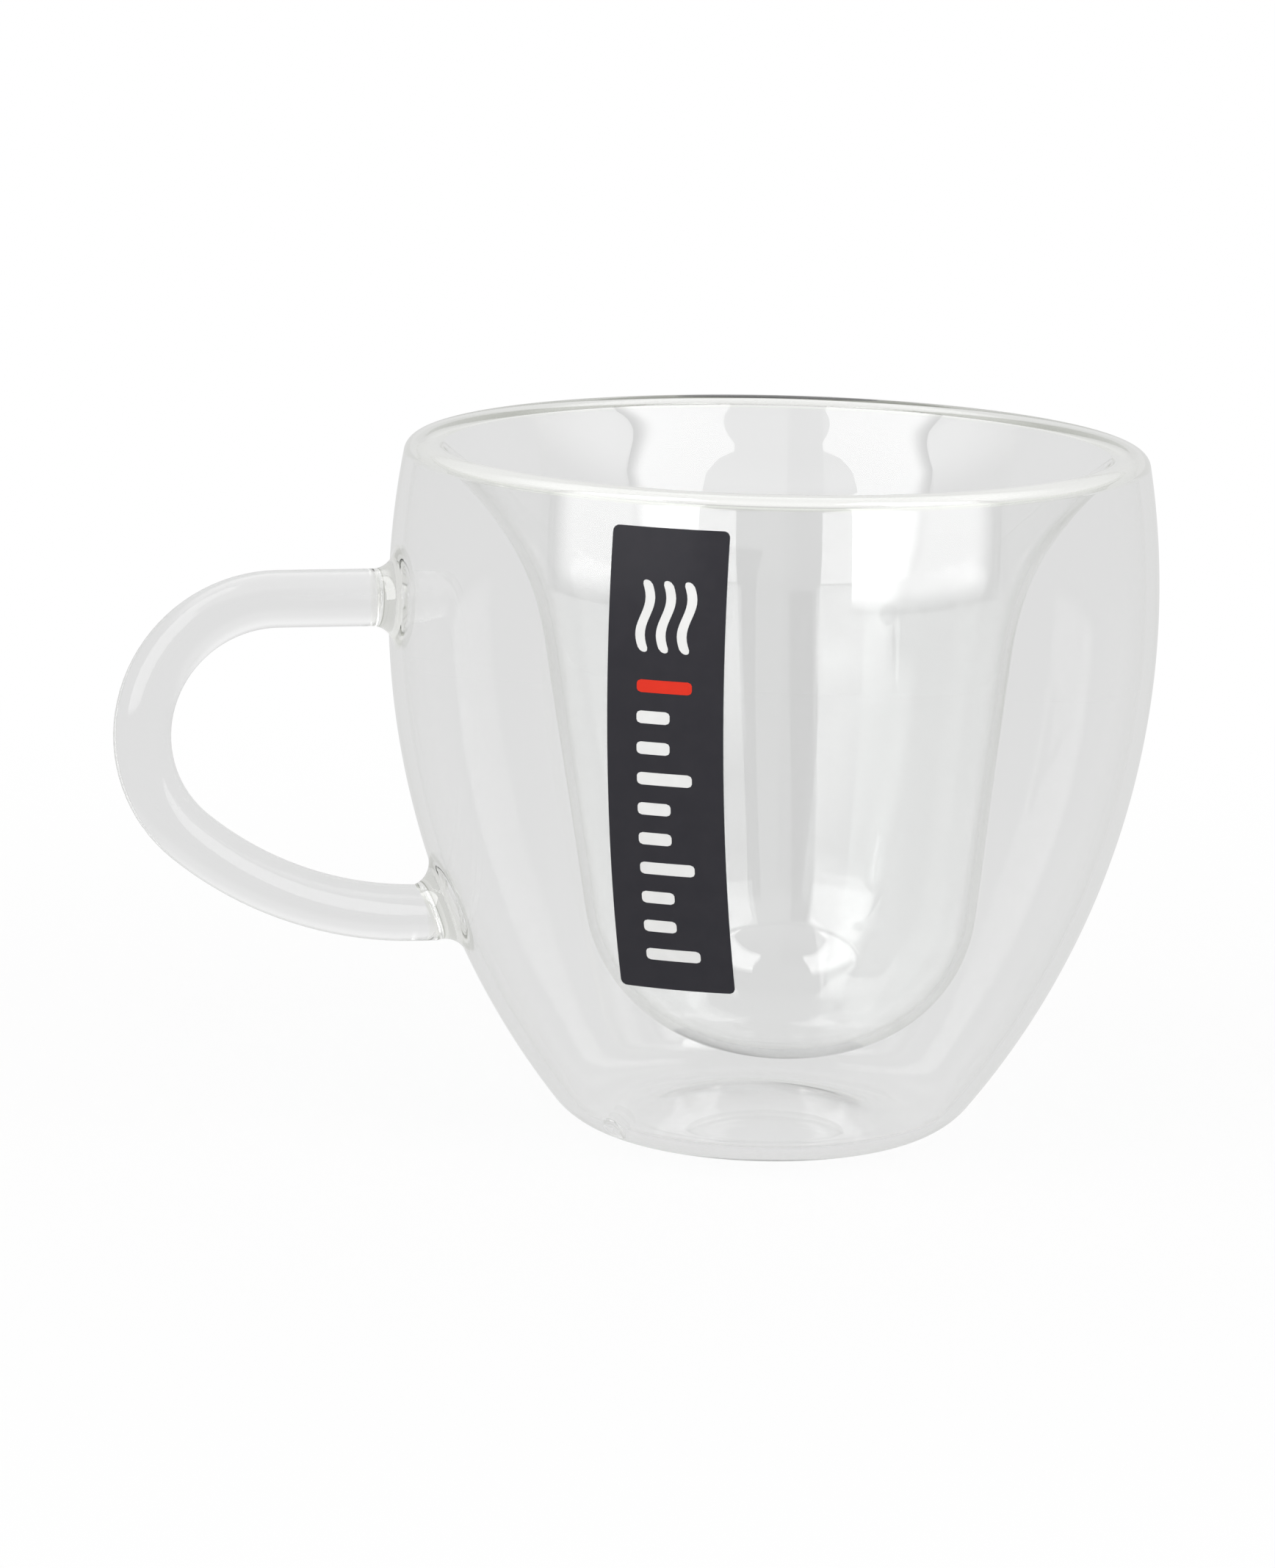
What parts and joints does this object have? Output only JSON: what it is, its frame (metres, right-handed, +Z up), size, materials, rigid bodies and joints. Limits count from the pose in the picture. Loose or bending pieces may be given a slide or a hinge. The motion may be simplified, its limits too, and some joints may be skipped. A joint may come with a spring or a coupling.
{
  "type": "double-wall glass mug",
  "caption": "Clear double-wall drinking mug: a round-bellied outer wall, a tapered inner cup with a flared lip, and a bent glass rod handle.",
  "frame": {"origin": "on the table, under the middle of the whole outline, handle included; the cup's axis stands 17.15 mm towards +X from it", "axes": "+Z up through the mouth, the handle points along -X, the front with the label faces -Y"},
  "size_m": [0.1292, 0.095, 0.086],
  "materials": {
    "outer_glass": "polished clear borosilicate, faint blown ripple",
    "inner_glass": "polished clear borosilicate, faint blown ripple",
    "rim_glass": "fire polished clear",
    "seal_glass": "melted clear bead",
    "rod_glass": "drawn clear rod",
    "weld_glass": "flame-worked clear",
    "label_film": "glossy dark film with plain printed marks"
  },
  "bodies": {
    "root": {"outer_wall": "outer_glass", "inner_wall": "inner_glass", "rim_bead": "rim_glass", "vent_seal": "seal_glass", "handle": "rod_glass", "upper_handle_weld": "weld_glass", "lower_handle_weld": "weld_glass", "label": "label_film"}
  },
  "joints": []
}
